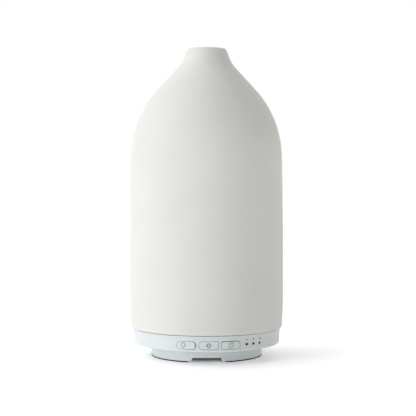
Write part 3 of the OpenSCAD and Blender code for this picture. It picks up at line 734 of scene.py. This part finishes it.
def make_bottom_cover():
    low, high = box_mm("bottom_cover")
    plate_z, plate_thick, plate_r = BAND_LOW_Z, 1.6, high.x
    plate_top = plate_z + plate_thick
    foot_r, foot_in, foot_lift, edge, overlap = 30.7, 25.2, 0.15, 0.25, 0.4
    notch_w, notch_z = 15.5, 2.6
    slot_w, slot_pitch, slot_circle = 1.6, 3, 10.5
    screw_r, head_r, head_depth = 1.2, 2.2, 0.8
    post_r, post_h, post_reach = 2, 2, 10
    foot_z = low.z + foot_lift
    outline = arc(foot_in + edge, foot_z + edge, edge, 180, 270, 4)
    outline += arc(foot_r - edge, foot_z + edge, edge, 270, 360, 4)
    outline += [(foot_r, plate_z + overlap), (foot_in, plate_z + overlap)]
    notch = notch_solid(notch_w / 2, -foot_r - 2, -foot_in + 4, foot_z, notch_z)
    ring = cut(*lathe(outline, 240), [turned(notch, angle) for angle in NOTCH_ANGLES])
    holes = []
    for i in range(-3, 4):
        reach = math.sqrt(slot_circle ** 2 - (slot_pitch * i) ** 2)
        holes.append(slot_solid(slot_pitch * i, FAN_Y, slot_w, 2 * reach, plate_z - 1, plate_top + 1))
    for angle in CASE_SCREW_ANGLES:
        x, y, _ = place(CASE_SCREW_R, angle, 0)
        holes.append(rod(x, y, screw_r, plate_z + 0.5, plate_top + 1, 24))
        holes.append(rod(x, y, head_r, plate_z - 1, plate_z + head_depth, 32))
    plate = cut(*rod(0, 0, plate_r, plate_z, plate_top, 240), holes)
    posts = []
    for x in (-post_reach, post_reach):
        for y in (-post_reach, post_reach):
            posts.append(rod(x, FAN_Y + y, post_r, plate_top - 0.2, plate_top + post_h, 24))
    points, faces = join([ring, plate] + posts)
    cover = piece("bottom_shell", points, faces, "base", "white_plastic", ["bottom_cover"], SHARP_ANGLE)
    round_edges(cover, 0.15)
    cover.modifiers.move(len(cover.modifiers) - 1, 0)


make_bottom_cover()


# ---- Foot pads ----

def make_pads():
    """Three rubber arcs under the foot ring, flush with its outer face."""
    low, high = box_mm("foot_pads")
    outer_r, inner_r, edge = 30.62, 26.2, 0.1
    end, steps = 20.0, 60   # degrees from a notch's middle to a pad's end, and steps along a pad
    top = high.z - 0.4
    outline = arc(outer_r - edge, low.z + edge, edge, -90, 0, 4)
    outline += [(outer_r, top), (inner_r, top)]
    outline += arc(inner_r + edge, low.z + edge, edge, 180, 270, 4)
    rows = len(outline)
    arcs = []
    for notch in NOTCH_ANGLES:
        turns = [notch + end + (120 - 2 * end) * k / steps for k in range(steps + 1)]
        points = [place(r, turn, z) for turn in turns for r, z in outline]
        faces = [tuple(range(rows))[::-1], tuple(range(len(points) - rows, len(points)))]
        for start in range(0, len(points) - rows, rows):
            for k in range(rows):
                n = (k + 1) % rows
                faces.append((start + k, start + n, start + rows + n, start + rows + k))
        arcs.append((points, faces))
    piece("rubber_pads", *join(arcs), "base", "rubber", ["foot_pads"], 40)


make_pads()


# ---- Keys: rounded pushers that fill the band's holes, with their printed signs ----

KEY_EDGE = 0.22
KEY_CORE = 0.12         # half the height of the narrow strip in the middle of a key's face
FLANGE_W, FLANGE_H, FLANGE_ROUND = KEY_W - 0.9, KEY_H + 1.2, 0.5
FLANGE_OUT, FLANGE_IN, POST_END = 37.7, 36.5, 35.4   # distances from the object's axis
POST_R = 1.2
KEY_NAMES = ["light", "mist", "timer"]


def rings_on_band(angle, loops, z=KEY_Z):
    """A closed form through (outline, depth) rings that all have the same number of points."""
    count = len(loops[0][0])
    points = [on_band(angle, x, z + y, depth) for outline, depth in loops for x, y in outline]
    faces = [tuple(range(count))[::-1], tuple(range(len(points) - count, len(points)))]
    for start in range(0, len(points) - count, count):
        for k in range(count):
            n = (k + 1) % count
            faces.append((start + k, start + n, start + count + n, start + count + k))
    return points, faces


def make_key(i):
    """A key's cap with its rounded edge, and the flange and the post behind the band."""
    name = KEY_NAMES[i]
    angle = (i - 1) * KEY_PITCH
    face_r = band_radius(KEY_Z)
    innermost = KEY_H / 2 - KEY_CORE
    rings = [(KEY_EDGE + (innermost - KEY_EDGE) * k / 5, KEY_RECESS) for k in range(5, 0, -1)]
    rings += [(shrink, KEY_RECESS + depth) for shrink, depth in rolled(KEY_EDGE, 6)]
    rings.append((0.0, face_r - FLANGE_OUT))
    loops = [(key_shape(i, -shrink, KEY_INSET[i]), depth) for shrink, depth in rings]
    flange = rounded(FLANGE_W, FLANGE_H, FLANGE_ROUND, FLANGE_ROUND)
    loops += [(flange, face_r - FLANGE_OUT), (flange, face_r - FLANGE_IN)]
    post = circle(POST_R, 0, 24)
    post_loops = [(post, face_r - FLANGE_IN - 0.2), (post, face_r - POST_END)]
    points, faces = join([rings_on_band(angle, loops), rings_on_band(angle, post_loops)])
    piece(f"{name}_cap", points, faces, f"{name}_key", "key_plastic", [f"{name}_button"], 40)


for index in range(3):
    make_key(index)


# ---- Printed signs: thin strokes just proud of a key's face or the band ----

PRINT_RISE, PRINT_SINK = 0.012, 0.05


def stroke(path, width, closed=False):
    """Both edges of a line, as ((left, right), ...) points."""
    pairs = []
    last = len(path) - 1
    for i, (x, y) in enumerate(path):
        ax, ay = path[i - 1] if closed or i else path[0]
        bx, by = path[(i + 1) % len(path)] if closed or i < last else path[last]
        dx, dy = bx - ax, by - ay
        size = math.hypot(dx, dy)
        nx, ny = -dy / size * width / 2, dx / size * width / 2
        pairs.append(((x + nx, y + ny), (x - nx, y - ny)))
    return pairs


def ink(angle, z, depth, path, width, closed=False):
    """A stroke as a thin closed form on the band, at a depth below its face."""
    top, low = depth - PRINT_RISE, depth + PRINT_SINK
    points, faces = [], []
    pairs = stroke(path, width, closed)
    for left, right in pairs:
        corners = [(left, top), (right, top), (right, low), (left, low)]
        points += [on_band(angle, x, z + y, d) for (x, y), d in corners]
    steps = len(pairs) if closed else len(pairs) - 1
    for i in range(steps):
        here, there = 4 * i, 4 * ((i + 1) % len(pairs))
        for k in range(4):
            n = (k + 1) % 4
            faces.append((here + k, here + n, there + n, there + k))
    if not closed:
        end = 4 * (len(pairs) - 1)
        faces += [(3, 2, 1, 0), (end, end + 1, end + 2, end + 3)]
    return points, faces


def lamp_sign(x):
    """A bulb: an open circle over a short foot."""
    globe = [(x + a, b + 0.2) for a, b in arc(0, 0, 1.15, -66, 246, 24)]
    foot = [(x - 0.4, -1.05), (x + 0.4, -1.05)]
    cap = [(x - 0.22, -1.4), (x + 0.22, -1.4)]
    return [(globe, False), (foot, False), (cap, False)]


def mist_sign(x):
    """A small ring with drops standing round it."""
    signs = [([(x + a, b) for a, b in circle(0.85, 0, 24)], True)]
    for turn in range(0, 360, 45):
        a = math.radians(turn)
        signs.append(([(x + r * math.cos(a), r * math.sin(a)) for r in (1.25, 1.5)], False))
    return signs


def clock_sign(x):
    """A clock face with two hands."""
    return [([(x + a, b) for a, b in circle(1.25, 0, 32)], True),
            ([(x, 0.75), (x, 0.0), (x + 0.5, -0.3)], False)]


def print_signs(name, angle, z, depth, signs, width, body):
    """Prints (path, closed) strokes of one width as a piece."""
    points, faces = join([ink(angle, z, depth, path, width, closed) for path, closed in signs])
    piece(name, points, faces, body, "print")


# Each key's sign, and the width of its strokes
KEY_SIGNS = [(lamp_sign(-1.7), 0.42), (mist_sign(0.0), 0.5), (clock_sign(0.1), 0.38)]
for index, (signs, width) in enumerate(KEY_SIGNS):
    key = KEY_NAMES[index]
    print_signs(f"{key}_sign", (index - 1) * KEY_PITCH, KEY_Z, KEY_RECESS, signs, width, f"{key}_key")

# A wave, a triangle and a ring over the three lights
MARK_Z, MARK_STROKE = 13.05, 0.36
MARKS = [
    [([(-0.6, 0.0), (-0.3, 0.25), (0.0, 0.0), (0.3, -0.25), (0.6, 0.0)], False)],
    [([(-0.55, -0.4), (0.55, -0.4), (0.0, 0.5)], True), ([(-0.2, -0.15), (0.2, -0.15)], False)],
    [(circle(0.45, 0, 16), True)]]
for index, signs in enumerate(MARKS):
    print_signs(f"light_mark_{index + 1}", LIGHT_ANGLES[index], MARK_Z, 0.0, signs, MARK_STROKE, "base")


# ---- Indicator lenses: dark light guides whose domed tips fill the band's pinholes ----

GUIDE_END, GUIDE_FLANGE = 34.6, 0.5    # the inner end's distance from the axis, and how far it flares
# How a tip domes: the share of its radius, and how deep it lies below the band's face
TIP_DOME = [(1.0, 0.25), (0.92, 0.17), (0.7, 0.11), (0.4, 0.08)]
TIP_CENTRE = (0.05, 0.07)


def make_lenses():
    guides = []
    face_r = band_radius(KEY_Z)
    wide, step_depth = LENS_R + GUIDE_FLANGE, face_r - BAND_IN_R + 1
    for angle in LIGHT_ANGLES:
        profile = [(wide, face_r - GUIDE_END), (wide, step_depth), (LENS_R, step_depth)]
        profile += [(LENS_R * share, depth) for share, depth in TIP_DOME] + [TIP_CENTRE]
        guides.append(rings_on_band(angle, [(circle(radius, 0, 24), depth) for radius, depth in profile]))
    points, faces = join(guides)
    piece("light_guides", points, faces, "base", "lens", ["indicator_lenses"], 40)


make_lenses()


# ---- Rounded edges on CAD parts that are shown as they are ----

FLAT_ANGLE = 0.2        # degrees, up to which neighbouring facets count as one face


def soften(node, width):
    """Joins a CAD mesh's facets and rounds its sharp edges by width, in millimetres."""
    obj = frame["nodes"][node]
    weld = obj.modifiers.new("weld", "WELD")
    weld.merge_threshold = 0.001 * MM
    planes = obj.modifiers.new("planes", "DECIMATE")
    planes.decimate_type = "DISSOLVE"
    planes.angle_limit = math.radians(FLAT_ANGLE)
    round_edges(obj, width)
    normals = obj.modifiers.new("normals", "WEIGHTED_NORMAL")
    normals.keep_sharp = False


EDGES = {"dc_jack": 0.15, "case_screws": 0.1, "water_tank": 0.3}
for node_name, width in EDGES.items():
    soften(node_name, width)


# ---- Floor, surroundings and lights ----

FLOOR_REACH = 6.0       # metres
# The table glows from below like a lightbox; its glow fades to none towards the object's axis, a painted
# shadow round the foot, between the two radii below in millimetres
FLOOR_GLOW = 0.27
PAINTED_SHADOW_CORE, PAINTED_SHADOW_EDGE = 15.0, 36.0


def make_floor():
    mesh = bpy.data.meshes.new("floor")
    corners = [(-1, -1), (1, -1), (1, 1), (-1, 1)]
    points = [(x * FLOOR_REACH, y * FLOOR_REACH, 0) for x, y in corners]
    mesh.from_pydata(points, [], [(0, 1, 2, 3)])
    floor = bpy.data.objects.new("floor", mesh)
    bpy.context.scene.collection.objects.link(floor)
    made = surface("floor_paper", (0.9, 0.9, 0.9), 0.004, 60, (0.85, 0.95), 1.0, 0.004,
                   Emission_Color=(1, 1, 1, 1))
    nodes, links = made.node_tree.nodes, made.node_tree.links
    where = nodes.new("ShaderNodeTexCoord")
    away = nodes.new("ShaderNodeVectorMath")
    away.operation = "LENGTH"
    links.new(where.outputs["Object"], away.inputs[0])
    # Painted shadow: the floor's glow is taken away near the object's axis and comes back in full farther
    # out
    painted_shadow = nodes.new("ShaderNodeMapRange")
    painted_shadow.interpolation_type = "SMOOTHSTEP"
    painted_shadow.inputs["From Min"].default_value = PAINTED_SHADOW_CORE * MM
    painted_shadow.inputs["From Max"].default_value = PAINTED_SHADOW_EDGE * MM
    painted_shadow.inputs["To Min"].default_value = 0.0
    painted_shadow.inputs["To Max"].default_value = FLOOR_GLOW
    links.new(away.outputs["Value"], painted_shadow.inputs["Value"])
    links.new(painted_shadow.outputs["Result"], nodes["Principled BSDF"].inputs["Emission Strength"])
    mesh.materials.append(made)


make_floor()
bpy.context.scene.view_settings.view_transform = "Standard"

COOL, WARM, WHITE = (0.98, 0.98, 1.0), (1.0, 1.0, 0.955), (1.0, 1.0, 1.0)


def soft_light(name, angle, height, power, spread_deg=70, tint=WHITE):
    """A distant wide softbox: angle is where it stands, from -Y towards +X, height is its elevation in
    degrees, and power is in watts per square metre."""
    data = bpy.data.lights.new(name, "SUN")
    data.color = tint
    data.energy = power
    data.angle = math.radians(spread_deg)
    light = bpy.data.objects.new(name, data)
    a, up = math.radians(angle), math.radians(height)
    towards = Vector((math.sin(a) * math.cos(up), -math.cos(a) * math.cos(up), math.sin(up)))
    light.rotation_euler = towards.to_track_quat("Z", "Y").to_euler()
    bpy.context.scene.collection.objects.link(light)


soft_light("overhead", 0, 90, 0.55, tint=WARM)
soft_light("key", -90, 48, 1.88, tint=COOL)
soft_light("back_high", 180, 48, 0.55)
soft_light("back_low", 180, 15, 0.85)
soft_light("back_right", 135, 15, 1.08, tint=WARM)
soft_light("left_low", -62, 3, 1.78, 40, COOL)
soft_light("front_low", 20, 3, 0.75, 40)


def make_world():
    """White surroundings that the camera sees, and that light nothing."""
    world = bpy.data.worlds.new("studio")
    bpy.context.scene.world = world
    world.use_nodes = True
    nodes, links = world.node_tree.nodes, world.node_tree.links
    background = nodes["Background"]
    background.inputs["Color"].default_value = (*WHITE, 1)
    path = nodes.new("ShaderNodeLightPath")
    links.new(path.outputs["Is Camera Ray"], background.inputs["Strength"])


make_world()
